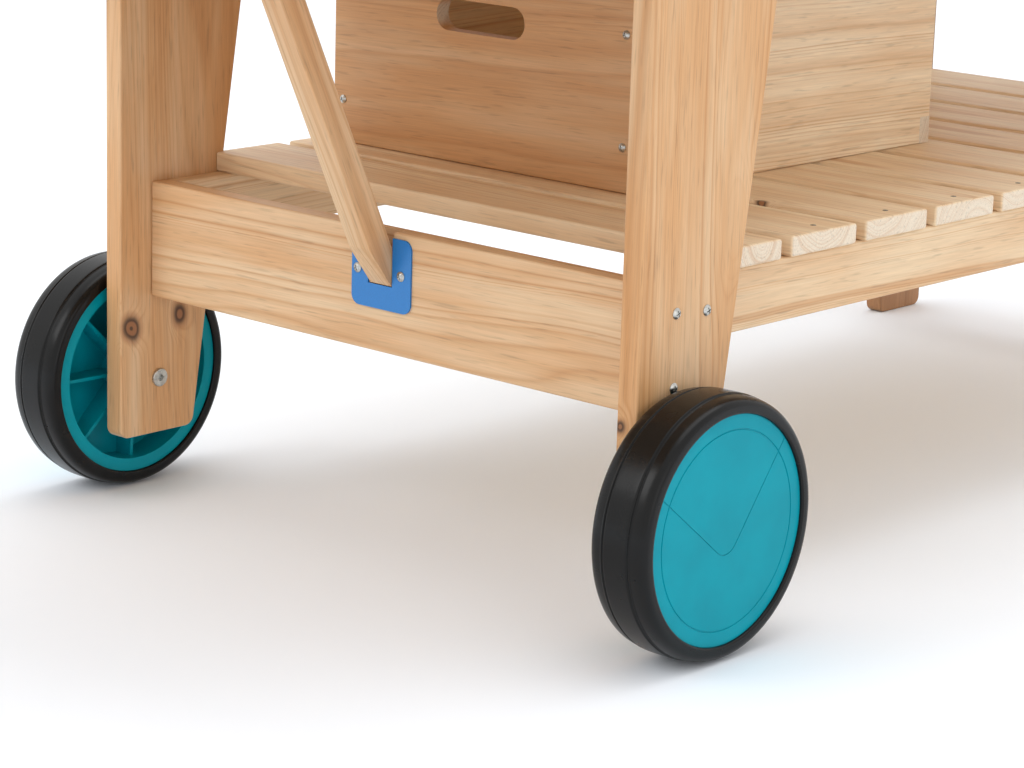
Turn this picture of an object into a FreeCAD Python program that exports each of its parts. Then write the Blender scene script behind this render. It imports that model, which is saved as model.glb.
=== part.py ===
"""Two-wheeled wooden play cart: slatted deck, counter, fold-over end leaf on a strut, crate, pull handle.

X runs across the cart along the axle, Y along the cart from the wheel end (-Y) to the leg end (+Y), Z up.
The origin is on the ground under the middle of the whole object. Lengths are in millimetres.
"""
import FreeCAD, Part
import math
import os
import re
import Sketcher

Vector = FreeCAD.Vector
X_AXIS = Vector(1, 0, 0)

# ---------------------------------------------------------------- driving dimensions
# "along" is measured along the cart from the wheel axle, "height" from the ground.
DIMENSIONS = {
    "axle_place": (-371.15, "Y of the wheel axle"),
    "axle_height": (96.5, "height of the wheel axle, also the tyre's radius"),
    "frame_inside": (524.0, "between the inner faces of the posts"),
    "stock": (18.0, "thickness of posts and rails"),
    "slat": (16.0, "thickness of deck, counter and leaf boards"),
    "post_front": (-41.0, "along: straight edge of the wheel posts"),
    "post_back": (40.0, "along: tapered edge of a post at taper_height"),
    "taper_height": (66.0, "height where post_back is measured"),
    "taper_slope": (0.1476, "widening of a post for each millimetre of height"),
    "post_foot": (50.0, "height of the wheel posts' lower end"),
    "post_corner": (9.0, "rounding of the posts' lower corners"),
    "frame_length": (1136.0, "outer edge of the wheel posts to outer edge of the legs"),
    "rail_inset": (32.2, "outer edge of a post to the outer face of an end rail"),
    "end_rail_width": (95.0, "height of the end rail boards"),
    "side_rail_width": (48.0, "height of the side rail boards"),
    "deck_height": (261.0, "height of the rails' upper edges"),
    "deck_over": (4.2, "deck boards stand out past the side rails by this"),
    "first_board": (62.5, "along: outer face of the first deck board"),
    "first_width": (74.0, "width of the first deck board"),
    "second_board": (148.6, "along: start of the second deck board"),
    "board_pitch": (92.4, "step from one deck board to the next"),
    "board_width": (80.5, "width of the other deck boards"),
    "counter_height": (546.0, "height of the posts' upper ends"),
    "top_rail_width": (60.0, "height of the rails under the counter"),
    "counter_over": (2.0, "counter boards stand out past the posts by this"),
    "counter_gap": (4.0, "gap between counter boards and between leaf boards"),
    "leaf_length": (330.0, "length of the fold-over leaf"),
    "batten_width": (40.0, "width of the battens under the leaf"),
    "batten_place": (165.0, "batten's middle from the middle of the cart"),
    "batten_inset": (15.0, "battens end this far inside the leaf's edges"),
    "hinge_gap": (8.0, "gap between the counter and the leaf"),
    "hinge_rise": (1.75, "hinge pin's height over the boards' upper face"),
    "knuckle_radius": (3.25, "radius of the hinge knuckles"),
    "strut_side": (22.0, "side of the strut's square section"),
    "strut_lean": (26.0, "strut's lean from upright in degrees"),
    "strut_shift": (-0.2, "middle of the strut from the middle of the cart"),
    "strut_middle": (-27.3, "along: strut's middle line where it meets the height of the rails' upper edges"),
    "pivot_drop": (16.0, "strut pivot under the leaf boards"),
    "slot_width": (25.4, "slot for the strut's foot"),
    "slot_middle": (-1.1, "middle of the slot from the middle of the cart"),
    "slot_depth": (11.0, "depth of the slot in the rail"),
    "slot_height": (218.6, "height of the slot's floor"),
    "seat_low": (200.0, "height of the seat plate's lower edge"),
    "seat_width": (62.0, "width of the seat plate"),
    "seat_rise": (56.5, "height of the seat plate"),
    "seat_sheet": (1.5, "thickness of the seat plate"),
    "seat_screws": (45.5, "distance between the seat plate's screws"),
    "seat_screw_middle": (-2.0, "middle of the seat plate's screws from the middle of the cart"),
    "seat_screw_rise": (28.5, "the seat plate's screws over its lower edge"),
    "wheel_out": (52.4, "outer face of a post to the outer face of the wheel disc"),
    "boss_start": (14.0, "outer end of the rim's boss, from the wheel's outer face"),
    "boss_end": (46.2, "inner end of the rim's boss, from the wheel's outer face"),
    "boss_radius": (17.0, "radius of the rim's boss"),
    "web_start": (15.0, "outer face of the rim's web, from the wheel's outer face"),
    "web_sheet": (3.5, "thickness of the rim's web"),
    "flange": (2.5, "thickness of the flanges that hold the tyre"),
    "groove_depth": (1.5, "depth of the two grooves round the tread"),
    "shoulder_drop": (0.7, "the tyre's shoulders are lower than its tread by this"),
    "rim_width": (44.7, "width of the wheel rim with its cap"),
    "rim_radius": (84.5, "radius of the rim and of the cap"),
    "barrel_radius": (77.0, "radius of the tyre's seat on the rim"),
    "ring_inside": (73.5, "inner radius of the rim's ring"),
    "cap_thickness": (2.5, "thickness of the wheel cap"),
    "tyre_bulge": (2.6, "tyre stands out past the rim's faces by this"),
    "sleeve_radius": (6.0, "radius of the axle sleeve"),
    "running_gap": (0.06, "radial clearance of the wheel on its sleeve"),
    "bolt_radius": (4.0, "radius of the axle bolts and handle bolts"),
    "crate_left": (-245.5, "X of the crate's left face"),
    "crate_width": (330.0, "size of the crate across the cart"),
    "crate_start": (181.0, "along: front face of the crate"),
    "crate_length": (402.0, "size of the crate along the cart"),
    "crate_rise": (160.0, "height of the crate"),
    "crate_wall": (14.0, "thickness of the crate's walls"),
    "hole_length": (70.0, "distance between the round ends of a hand hole"),
    "hole_radius": (13.0, "radius of a hand hole's round ends"),
    "hole_drop": (40.0, "hand hole's middle below the crate's upper edge"),
    "bottom_sheet": (9.0, "thickness of the crate's bottom"),
    "bottom_rise": (6.0, "the crate's bottom sits this far over its lower edge"),
    "crate_notch": (23.0, "height of the tongue joint at the crate's back corners"),
    "loose_gap": (0.3, "clearance between loose neighbours"),
    "handle_place": (1073.0, "along: handle pivot"),
    "handle_height": (500.0, "height of the handle pivot"),
    "handle_reach": (262.0, "handle pivot to the middle of the grip"),
    "handle_width": (30.0, "width of the handle arms"),
    "handle_stock": (14.0, "thickness of the handle arms"),
    "grip_radius": (13.0, "radius of the handle's grip"),
}
DECK_BOARDS = 10
COUNTER_BOARDS = 4
LEAF_BOARDS = 3
RIBS = 8
HINGE_PLACES = (-180.0, 180.0)

document = FreeCAD.newDocument("play_cart")
sheet = document.addObject("Spreadsheet::Sheet", "sizes")
for row, (alias, (amount, meaning)) in enumerate(DIMENSIONS.items(), start=1):
    sheet.set(f"A{row}", alias)
    sheet.set(f"B{row}", str(amount))
    sheet.set(f"C{row}", meaning)
    sheet.setAlias(f"B{row}", alias)
document.recompute()

ALIAS = re.compile(r"\b(" + "|".join(sorted(DIMENSIONS, key=len, reverse=True)) + r")\b")
pieces = []


def linked(formula):
    """Return a formula in dimension names as an expression that reads the spreadsheet."""
    return ALIAS.sub(r"sizes.\1", formula)


def size(formula):
    """Return the present number of a formula in dimension names."""
    amount = sheet.evalExpression(linked(formula))
    return float(getattr(amount, "Value", amount))


def bind(thing, **formulas):
    """Bind properties of an object to formulas; base_x, base_y and base_z are its place."""
    for name, formula in formulas.items():
        name = name.replace("base_", "Placement.Base.")
        thing.setExpression(name, linked(formula))


def keep(thing, label):
    """Record an object as a finished sub-part under its label."""
    thing.Label = label
    pieces.append(thing)
    return thing


def block(name, lengths, corner):
    """Make a box from formulas for its three lengths and its lowest corner."""
    box = document.addObject("Part::Box", name)
    bind(box, Length=lengths[0], Width=lengths[1], Height=lengths[2])
    bind(box, base_x=corner[0], base_y=corner[1], base_z=corner[2])
    return box


def eased(thing, radius, name):
    """Round all the edges of a box-shaped object."""
    document.recompute()
    rounding = document.addObject("Part::Fillet", name + "_eased")
    rounding.Base = thing
    rounding.Edges = [(edge + 1, radius, radius) for edge in range(len(thing.Shape.Edges))]
    return rounding


def cut(base, tool, name):
    """Subtract one object from another."""
    result = document.addObject("Part::Cut", name + "_cut")
    result.Base = base
    result.Tool = tool
    return result


def board(label, lengths, corner, radius=2.0):
    """Make a planed board with eased edges."""
    return keep(eased(block(label + "_board", lengths, corner), radius, label), label)


def rod(name, radius, length, start, direction):
    """Make a cylinder from formulas, starting at a point and pointing along a direction."""
    cylinder = document.addObject("Part::Cylinder", name)
    turn = FreeCAD.Rotation(Vector(0, 0, 1), Vector(*direction))
    cylinder.Placement = FreeCAD.Placement(Vector(), turn)
    bind(cylinder, Radius=radius, Height=length)
    bind(cylinder, base_x=start[0], base_y=start[1], base_z=start[2])
    return cylinder


def plain(label, shape):
    """Keep a shape that is made directly, such as a group of fasteners."""
    feature = document.addObject("Part::Feature", label + "_shape")
    feature.Shape = shape
    return keep(feature, label)


def outline(body, plane, name, corners):
    """Sketch a closed polygon on one of a body's planes, each corner bound to two formulas."""
    sketch = body.newObject("Sketcher::SketchObject", name)
    for feature in body.Origin.OriginFeatures:
        if feature.Role == plane:
            sketch.AttachmentSupport = (feature, [""])
    sketch.MapMode = "FlatFace"
    numbers = [Vector(size(across), size(up), 0) for across, up in corners]
    count = len(corners)
    for index in range(count):
        sketch.addGeometry(Part.LineSegment(numbers[index], numbers[(index + 1) % count]), False)
    for index in range(count):
        sketch.addConstraint(Sketcher.Constraint("Coincident", index, 2, (index + 1) % count, 1))
    for index, (across, up) in enumerate(corners):
        spot = numbers[index]
        for kind, formula, amount in (("DistanceX", across, spot.x), ("DistanceY", up, spot.y)):
            number = sketch.addConstraint(Sketcher.Constraint(kind, -1, 1, index, 1, amount))
            sketch.setExpression(f"Constraints[{number}]", linked(formula))
    return sketch


def rounded(body, radius, wanted, name):
    """Round the edges of a body's tip for which wanted(edge) is true."""
    document.recompute()
    tip = body.Tip
    names = [f"Edge{place + 1}" for place, edge in enumerate(tip.Shape.Edges) if wanted(edge)]
    fillet = body.newObject("PartDesign::Fillet", name)
    fillet.Base = (tip, names)
    fillet.Radius = radius
    return fillet


# ---------------------------------------------------------------- frame
INSIDE = "frame_inside / 2"
OUTSIDE = "(frame_inside / 2 + stock)"
FRAME_MIDDLE = "(axle_place + post_front + frame_length / 2)"
RAIL_FRONT = "(axle_place + post_front + rail_inset)"
LEG_BACK = "(axle_place + post_front + frame_length)"
LEG_RAIL_BACK = "(axle_place + post_front + frame_length - rail_inset)"


def upright(label, side, foot, at_leg_end):
    """Make a tapered post or leg: one straight edge outwards, one edge that widens with height."""
    body = document.addObject("PartDesign::Body", label)
    straight = "post_front"
    low = f"post_back + taper_slope * ({foot} - taper_height)"
    high = "post_back + taper_slope * (counter_height - taper_height)"
    corners = [(straight, foot), (low, foot), (high, "counter_height"), (straight, "counter_height")]
    sketch = outline(body, "YZ_Plane", label + "_outline", corners)
    pad = body.newObject("PartDesign::Pad", label + "_pad")
    pad.Profile = sketch
    bind(pad, Length="stock")
    corner_height = size(foot)
    rounded(body, size("post_corner"),
            lambda edge: edge.BoundBox.ZMax < corner_height + 0.1 and edge.BoundBox.XLength > 1,
            label + "_corners")
    rounded(body, 1.5, lambda edge: edge.Length > size("post_corner") * 1.2 and edge.BoundBox.XLength < 1
            or edge.BoundBox.ZLength > 1 and edge.BoundBox.XLength < 0.1, label + "_edges")
    start = {-1: f"-{OUTSIDE}", 1: INSIDE}[side]
    if at_leg_end:
        body.Placement = FreeCAD.Placement(Vector(), FreeCAD.Rotation(Vector(0, 0, 1), 180))
        start = {-1: f"-{INSIDE}", 1: OUTSIDE}[side]
        bind(body, base_x=start, base_y=f"{LEG_BACK} + post_front")
    else:
        bind(body, base_x=start, base_y="axle_place")
    return body


def drilled(thing, label, holes):
    """Cut round holes through a piece; holes holds (radius, start, length) with starts along X."""
    for number, (radius, length, start) in enumerate(holes):
        tool = rod(f"{label}_hole_{number}", radius, length, start, (1, 0, 0))
        thing = cut(thing, tool, f"{label}_{number}")
    return keep(thing, label)


for side, word in ((-1, "left"), (1, "right")):
    inner_face = {-1: f"-{OUTSIDE}", 1: INSIDE}[side]
    axle_hole = ("bolt_radius + 0.1", "stock + 2", (f"{inner_face} - 1", "axle_place", "axle_height"))
    drilled(upright(f"wheel_post_{word}_wood", side, "post_foot", False), f"wheel_post_{word}", [axle_hole])
    pivot_hole = ("bolt_radius + 0.1", "stock + 2",
                  (f"{inner_face} - 1", "axle_place + handle_place", "handle_height"))
    drilled(upright(f"leg_{word}_wood", side, "0", True), f"leg_{word}", [pivot_hole])
    rail_start = {-1: f"-{INSIDE}", 1: f"{INSIDE} - stock"}[side]
    for name, width, top in (("side_rail", "side_rail_width", "deck_height"),
                             ("top_side_rail", "top_rail_width", "counter_height")):
        board(f"{name}_{word}", ("stock", "frame_length - 2 * rail_inset - 2 * stock", width),
              (rail_start, f"{RAIL_FRONT} + stock", f"{top} - {width}"))

board("leg_end_rail", ("frame_inside", "stock", "end_rail_width"),
      (f"-{INSIDE}", f"{LEG_RAIL_BACK} - stock", "deck_height - end_rail_width"))
for word, start in (("wheel_end", RAIL_FRONT), ("leg_end", f"{LEG_RAIL_BACK} - stock")):
    board(f"top_rail_{word}", ("frame_inside", "stock", "top_rail_width"),
          (f"-{INSIDE}", start, "counter_height - top_rail_width"))

slotted = eased(block("slotted_rail", ("frame_inside", "stock", "end_rail_width"),
                      (f"-{INSIDE}", RAIL_FRONT, "deck_height - end_rail_width")), 2.0, "slotted_rail")
slot = block("strut_slot", ("slot_width", "slot_depth + 1", "deck_height - slot_height + 1"),
             ("slot_middle - slot_width / 2", f"{RAIL_FRONT} - 1", "slot_height"))
keep(cut(slotted, slot, "wheel_end_rail"), "wheel_end_rail")

# ---------------------------------------------------------------- deck and counter
for number in range(1, DECK_BOARDS + 1):
    label = f"deck_board_{number:02d}"
    if number == 1:
        start, width = "first_board", "first_width"
    else:
        start, width = f"second_board + {number - 2} * board_pitch", "board_width"
    slat = eased(block(label + "_slat", ("frame_inside + 2 * deck_over", width, "slat"),
                       (f"-{INSIDE} - deck_over", f"axle_place + {start}", "deck_height")), 2.5, label)
    if number == 1:
        post_room = "post_back + taper_slope * (deck_height + slat - taper_height) + 1"
        for side, corner in ((-1, f"-{INSIDE} - deck_over - 1"), (1, f"{INSIDE} - 0.5")):
            room = block(f"post_room_{side + 1}",
                         ("deck_over + 1.5", f"{post_room} - first_board + 1", "slat + 2"),
                         (corner, "axle_place + first_board - 1", "deck_height - 1"))
            slat = cut(slat, room, f"{label}_{side + 1}")
    keep(slat, label)

COUNTER_START = "(axle_place + post_front - counter_over)"
counter_width = f"((frame_inside + 2 * stock - {COUNTER_BOARDS - 1} * counter_gap) / {COUNTER_BOARDS})"
for number in range(COUNTER_BOARDS):
    board(f"counter_board_{number + 1}", (counter_width, "frame_length + 2 * counter_over", "slat"),
          (f"-{OUTSIDE} + {number} * ({counter_width} + counter_gap)", COUNTER_START, "counter_height"), 2.5)

# ---------------------------------------------------------------- leaf and its hinges
LEAF_START = f"({COUNTER_START} - hinge_gap - leaf_length)"
leaf_width = f"((leaf_length - {LEAF_BOARDS - 1} * counter_gap) / {LEAF_BOARDS})"
for number in range(LEAF_BOARDS):
    board(f"leaf_board_{number + 1}", ("frame_inside + 2 * stock", leaf_width, "slat"),
          (f"-{OUTSIDE}", f"{LEAF_START} + {number} * ({leaf_width} + counter_gap)", "counter_height"), 2.5)
for side, word in ((-1, "left"), (1, "right")):
    board(f"leaf_batten_{word}", ("batten_width", "leaf_length - 2 * batten_inset", "slat"),
          (f"{side} * batten_place - batten_width / 2", f"{LEAF_START} + batten_inset",
           "counter_height - slat"), 1.5)

HINGE_ALONG = f"({COUNTER_START} - hinge_gap / 2)"
HINGE_HEIGHT = "(counter_height + slat + hinge_rise)"
KNUCKLES = ((-30.0, -10.2), (-9.8, 9.8), (10.2, 30.0))


def hinge_half(middle, outward, knuckles):
    """Make half a butt hinge: a screwed plate with rolled knuckles that go round the pin."""
    sheet_thickness = 1.5
    plate_depth = 30.0
    radius = size("knuckle_radius")
    along, height = size(HINGE_ALONG), size(HINGE_HEIGHT)
    low = size("counter_height + slat")
    start = along + radius + 0.35 if outward > 0 else along - radius - 0.35 - plate_depth
    shape = Part.makeBox(60, plate_depth, sheet_thickness, Vector(middle - 30, start, low))
    for place in (-20, 20):
        hole = Part.makeCylinder(2.2, 4, Vector(middle + place, start + plate_depth / 2, low - 1))
        shape = shape.cut(hole)
    for first, last in knuckles:
        barrel = Part.makeCylinder(radius, last - first, Vector(middle + first, along, height), X_AXIS)
        reach = radius + 0.4
        web_start = along if outward > 0 else along - reach
        web = Part.makeBox(last - first, reach, sheet_thickness, Vector(middle + first, web_start, low))
        shape = shape.fuse([barrel, web])
    bore = Part.makeCylinder(1.55, 62, Vector(middle - 31, along, height), X_AXIS)
    return shape.cut(bore).removeSplitter()


fixed_halves = [hinge_half(place, 1, (KNUCKLES[0], KNUCKLES[2])) for place in HINGE_PLACES]
moving_halves = [hinge_half(place, -1, (KNUCKLES[1],)) for place in HINGE_PLACES]
hinge_pins = [Part.makeCylinder(1.5, 61, Vector(place - 30.5, size(HINGE_ALONG), size(HINGE_HEIGHT)),
                                X_AXIS) for place in HINGE_PLACES]
plain("leaf_hinge_fixed_halves", Part.makeCompound(fixed_halves))
plain("leaf_hinge_moving_halves", Part.makeCompound(moving_halves))
plain("leaf_hinge_pins", Part.makeCompound(hinge_pins))

# ---------------------------------------------------------------- strut, its bracket and its seat
LEAN = math.radians(size("strut_lean"))
STRUT_UP = Vector(0, -math.sin(LEAN), math.cos(LEAN))
STRUT_OUT = Vector(0, -math.cos(LEAN), -math.sin(LEAN))
pivot_height = size("counter_height - pivot_drop")
pivot = Vector(size("strut_shift"),
               size("axle_place + strut_middle") - (pivot_height - size("deck_height")) * math.tan(LEAN),
               pivot_height)
half_side = size("strut_side") / 2
tip = Vector(0, size(RAIL_FRONT) - size("seat_sheet") + 0.3, size("slot_height") + 0.7)
FOOT_BEVEL = math.radians(38.0)
FOOT_CLEARANCE = 0.7
STRUT_BORE = 3.08
BRACKET_SHEET = 2.5
BRACKET_LENGTH = 64
CHEEK_RADIUS = 11


def make_strut():
    """Make the square strut: round head on the pin, foot with a bevelled outer face and a flat back."""
    tip_drop = (pivot - tip).dot(STRUT_UP)
    width = size("strut_side")
    head = Part.makeCylinder(half_side, width, Vector(pivot.x - half_side, pivot.y, pivot.z), X_AXIS)
    across = Vector(width, 0, 0)
    corners = [pivot + STRUT_OUT * half_side, pivot - STRUT_OUT * half_side]
    corners += [point - STRUT_UP * tip_drop for point in reversed(corners)]
    start = Vector(-half_side, 0, 0)
    profile = Part.makePolygon([point + start for point in corners + corners[:1]])
    bar = Part.Face(profile).extrude(across)
    bevel_out = Vector(0, -math.cos(FOOT_BEVEL), -math.sin(FOOT_BEVEL))
    bevel_up = Vector(0, -math.sin(FOOT_BEVEL), math.cos(FOOT_BEVEL))
    edge = Vector(pivot.x - half_side - 1, tip.y, tip.z)
    wedge = [edge - bevel_up * 5, edge + bevel_up * 90, edge + bevel_up * 90 + bevel_out * 40,
             edge - bevel_up * 5 + bevel_out * 40]
    tool = Part.Face(Part.makePolygon(wedge + wedge[:1])).extrude(Vector(width + 2, 0, 0))
    in_slot = size(RAIL_FRONT + " + slot_depth") - FOOT_CLEARANCE
    behind = Part.makeBox(width + 2, 60, 80, Vector(edge.x, in_slot, tip.z - 10))
    shape = bar.fuse(head).cut([tool, behind]).removeSplitter()
    long_edges = [item for item in shape.Edges if item.Length > 250 and item.BoundBox.XLength < 0.1]
    shape = shape.makeFillet(1.5, long_edges)
    bore_start = Vector(pivot.x - half_side - 1, pivot.y, pivot.z)
    bore = Part.makeCylinder(STRUT_BORE, width + 2, bore_start, X_AXIS)
    return shape.cut(bore)


def make_bracket():
    """Make the U-shaped strut bracket: a base under the leaf and two round-ended cheeks."""
    sheet_thickness = BRACKET_SHEET
    top = size("counter_height")
    gap = half_side + 0.6
    outer = gap + sheet_thickness
    base_start = Vector(pivot.x - outer, pivot.y - BRACKET_LENGTH / 2, top - sheet_thickness)
    shape = Part.makeBox(2 * outer, BRACKET_LENGTH, sheet_thickness, base_start)
    for side in (-1, 1):
        cheek_start = pivot.x + (gap if side > 0 else -outer)
        cheek = Part.makeBox(sheet_thickness, 2 * CHEEK_RADIUS, top - pivot.z,
                             Vector(cheek_start, pivot.y - CHEEK_RADIUS, pivot.z))
        lobe = Part.makeCylinder(CHEEK_RADIUS, sheet_thickness, Vector(cheek_start, pivot.y, pivot.z), X_AXIS)
        shape = shape.fuse([cheek, lobe])
    bore = Part.makeCylinder(3.0, 60, Vector(pivot.x - 30, pivot.y, pivot.z), X_AXIS)
    return shape.cut(bore).removeSplitter()


def make_strut_pin():
    """Make the headed strut pin."""
    reach = half_side + 4.5
    pin = Part.makeCylinder(3.0, 2 * reach, Vector(pivot.x - reach, pivot.y, pivot.z), X_AXIS)
    for start in (-reach - 1.5, half_side + 3.1):
        head = Part.makeCylinder(5.0, 1.8, Vector(pivot.x + start, pivot.y, pivot.z), X_AXIS)
        pin = pin.fuse(head)
    return pin.removeSplitter()


plain("prop_strut", make_strut())
plain("strut_bracket", make_bracket())
plain("strut_pin", make_strut_pin())


SEAT_HOLE = 2.0
SEAT_CORNER = 8.0


def seat_screw(side, along):
    """Return the place of one screw of the seat plate at this depth along the cart."""
    across = size("seat_screw_middle") + side * size("seat_screws") / 2
    return Vector(across, along, size("seat_low + seat_screw_rise"))


def make_seat():
    """Make the U-shaped seat plate: rounded sheet with an open slot and two screw holes."""
    width, rise = size("seat_width"), size("seat_rise")
    thickness = size("seat_sheet")
    front = size(RAIL_FRONT) - thickness
    shape = Part.makeBox(width, thickness, rise, Vector(-width / 2, front, size("seat_low")))
    corners = [item for item in shape.Edges if item.BoundBox.YLength > 1 and item.BoundBox.XLength < 0.1]
    shape = shape.makeFillet(SEAT_CORNER, corners)
    slot_left = size("slot_middle - slot_width / 2")
    opening = Part.makeBox(size("slot_width"), 4, rise, Vector(slot_left, front - 1, size("slot_height")))
    shape = shape.cut(opening)
    for side in (-1, 1):
        shape = shape.cut(Part.makeCylinder(SEAT_HOLE, 4, seat_screw(side, front - 1), Vector(0, 1, 0)))
    return shape


plain("strut_seat_plate", make_seat())

# ---------------------------------------------------------------- wheels
# A wheel's own x runs from the outer face of its cap towards the post, its y is the radius.


def turned(label, corners):
    """Make a body that is turned round its own X axis from a profile of formulas."""
    body = document.addObject("PartDesign::Body", label)
    sketch = outline(body, "XY_Plane", label + "_profile", corners)
    turning = body.newObject("PartDesign::Revolution", label + "_turned")
    turning.Profile = sketch
    turning.ReferenceAxis = (sketch, ["H_Axis"])
    turning.Angle = 360
    return body


RIB_THICKNESS = 2.8
SHOULDER_ROUNDING = 8.5
LIP_ROUNDING = 1.8
# Each groove round the tread, outer one first: shoulder's edge, floor from, floor to, tread's edge.
TREAD_GROOVES = ((10.3, 10.9, 11.7, 12.1), (34.4, 33.8, 33.0, 32.6))


def wheel_place(thing, side):
    """Put a wheel piece on its axle, with its own x pointing at the post."""
    turn = 180 if side > 0 else 0
    thing.Placement = FreeCAD.Placement(Vector(), FreeCAD.Rotation(Vector(0, 0, 1), turn))
    bind(thing, base_x=f"{side} * ({OUTSIDE} + wheel_out)", base_y="axle_place", base_z="axle_height")


def circle_at(edge, radius, place):
    """Tell whether an edge is the circle of this radius round the axis at this place along it."""
    box = edge.BoundBox
    return abs(box.XMax - place) < 0.05 and box.XLength < 0.05 and abs(box.ZMax - radius) < 0.05


def make_rim(label):
    """Make the ribbed rim: barrel with two flanges, web, boss and radial ribs."""
    bore = "sleeve_radius + running_gap"
    body = turned(label, [
        ("boss_start", bore), ("boss_start", "boss_radius"), ("web_start", "boss_radius"),
        ("web_start", "ring_inside"), ("cap_thickness", "ring_inside"),
        ("cap_thickness", "rim_radius - 1"), ("cap_thickness + flange", "rim_radius - 1"),
        ("cap_thickness + flange", "barrel_radius"), ("rim_width - flange", "barrel_radius"),
        ("rim_width - flange", "rim_radius"), ("rim_width", "rim_radius"), ("rim_width", "ring_inside"),
        ("web_start + web_sheet", "ring_inside"), ("web_start + web_sheet", "boss_radius"),
        ("boss_end", "boss_radius"), ("boss_end", bore)])
    rib = outline(body, "XY_Plane", label + "_rib", [
        ("web_start + 2", "boss_radius - 2"), ("boss_end - 6.2", "boss_radius - 2"),
        ("rim_width - 8.7", "ring_inside + 1"), ("web_start + 2", "ring_inside + 1")])
    pad = body.newObject("PartDesign::Pad", label + "_rib_pad")
    pad.Profile = rib
    pad.Length = RIB_THICKNESS
    pad.SideType = "Symmetric"
    pattern = body.newObject("PartDesign::PolarPattern", label + "_ribs")
    pattern.Originals = [pad]
    pattern.Axis = (rib, ["H_Axis"])
    pattern.Angle = 360
    pattern.Occurrences = RIBS
    body.Tip = pattern
    return body


def make_tyre(label):
    """Make the tyre: channel on the rim, flat middle tread between two grooves, round shoulders."""
    outer, inner = "-tyre_bulge", "rim_width + tyre_bulge"
    shoulder = "axle_height - shoulder_drop"
    heights = (shoulder, "axle_height - groove_depth", "axle_height - groove_depth", "axle_height")
    outer_groove, inner_groove = ([(str(place), height) for place, height in zip(places, heights)]
                                  for places in TREAD_GROOVES)
    seat = [("cap_thickness + flange", "barrel_radius"), ("rim_width - flange", "barrel_radius"),
            ("rim_width - flange", "rim_radius"), (inner, "rim_radius"), (inner, shoulder)]
    side_wall = [(outer, shoulder), (outer, "rim_radius"), ("cap_thickness + flange", "rim_radius")]
    body = turned(label, seat + inner_groove + outer_groove[::-1] + side_wall)
    rounded(body, SHOULDER_ROUNDING, lambda edge: circle_at(edge, size(shoulder), size(outer))
            or circle_at(edge, size(shoulder), size(inner)), label + "_shoulders")
    rounded(body, LIP_ROUNDING, lambda edge: circle_at(edge, size("rim_radius"), size(outer))
            or circle_at(edge, size("rim_radius"), size(inner)), label + "_lips")
    return body


# The V-shaped parting line of the wheel cap: its ends and corner, and the groove that shows it.
PARTING_CORNERS = (Vector(77.5, 39.5, 0), Vector(-1, -23.2, 0), Vector(-60.8, 56, 0))
CORNER_ROUNDING = 14
ARC_STEPS = 8
GROOVE_HALF_WIDTH = 0.35
GROOVE_DEPTH = 0.5


def groove_band(corners, half_width):
    """Return the outline of a narrow band that follows an open line of corner points."""
    left, right = [], []
    for index, point in enumerate(corners):
        before = corners[max(index - 1, 0)]
        after = corners[min(index + 1, len(corners) - 1)]
        forward = (after - before).normalize()
        aside = Vector(-forward.y, forward.x, 0) * half_width
        left.append(point + aside)
        right.append(point - aside)
    return [(f"{point.x:.4f}", f"{point.y:.4f}") for point in left + right[::-1]]


def parting_line():
    """Return the V-shaped line on the cap: two straight arms that meet in a round corner."""
    first_end, corner, last_end = PARTING_CORNERS
    to_first = (first_end - corner).normalize()
    to_last = (last_end - corner).normalize()
    half_angle = to_first.getAngle(to_last) / 2
    middle = corner + (to_first + to_last).normalize() * (CORNER_ROUNDING / math.sin(half_angle))
    start = corner + to_first * (CORNER_ROUNDING / math.tan(half_angle)) - middle
    sweep = math.pi - 2 * half_angle
    arc = [middle + FreeCAD.Rotation(Vector(0, 0, 1), -math.degrees(sweep * step / ARC_STEPS)).multVec(start)
           for step in range(ARC_STEPS + 1)]
    return [first_end] + arc + [last_end]


def make_cap(label):
    """Make the flat wheel cap with a ring groove, a V-shaped parting groove and a rounded rim."""
    body = turned(label, [
        ("0", "0"), ("0", "72"), ("0.6", "72.3"), ("0.6", "73"), ("0", "73.3"), ("0", "rim_radius - 0.2"),
        ("cap_thickness", "rim_radius - 0.2"), ("cap_thickness", "0")])
    rounded(body, 0.8, lambda edge: circle_at(edge, size("rim_radius - 0.2"), 0.0), label + "_edge")
    groove = body.newObject("PartDesign::Pocket", label + "_groove")
    band = groove_band(parting_line(), GROOVE_HALF_WIDTH)
    groove.Profile = outline(body, "YZ_Plane", label + "_parting", band)
    groove.Length = GROOVE_DEPTH
    groove.Reversed = True
    body.Tip = groove
    return body


# Axle fixings, measured inwards from the wheel's outer face.
SHAFT_START = 4
NUT_START, NUT_RADIUS, NUT_RISE = 5, 7.5, 6.5
WASHER_RADIUS, WASHER_RISE = 11, 1.8
SLEEVE_START, COLLAR_START = 13.3, 46.7
HEAD_RADIUS, HEAD_RISE, HEAD_ROUNDING = 7.6, 2.4, 0.9
SOCKET_RADIUS, SOCKET_DEPTH = 2.9, 2.9


def hexagon(middle, radius):
    """Return a six-sided face across the X axis round this middle."""
    turns = [math.radians(60 * step) for step in range(7)]
    corners = [middle + Vector(0, radius * math.cos(turn), radius * math.sin(turn)) for turn in turns]
    return Part.Face(Part.makePolygon(corners))


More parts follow.
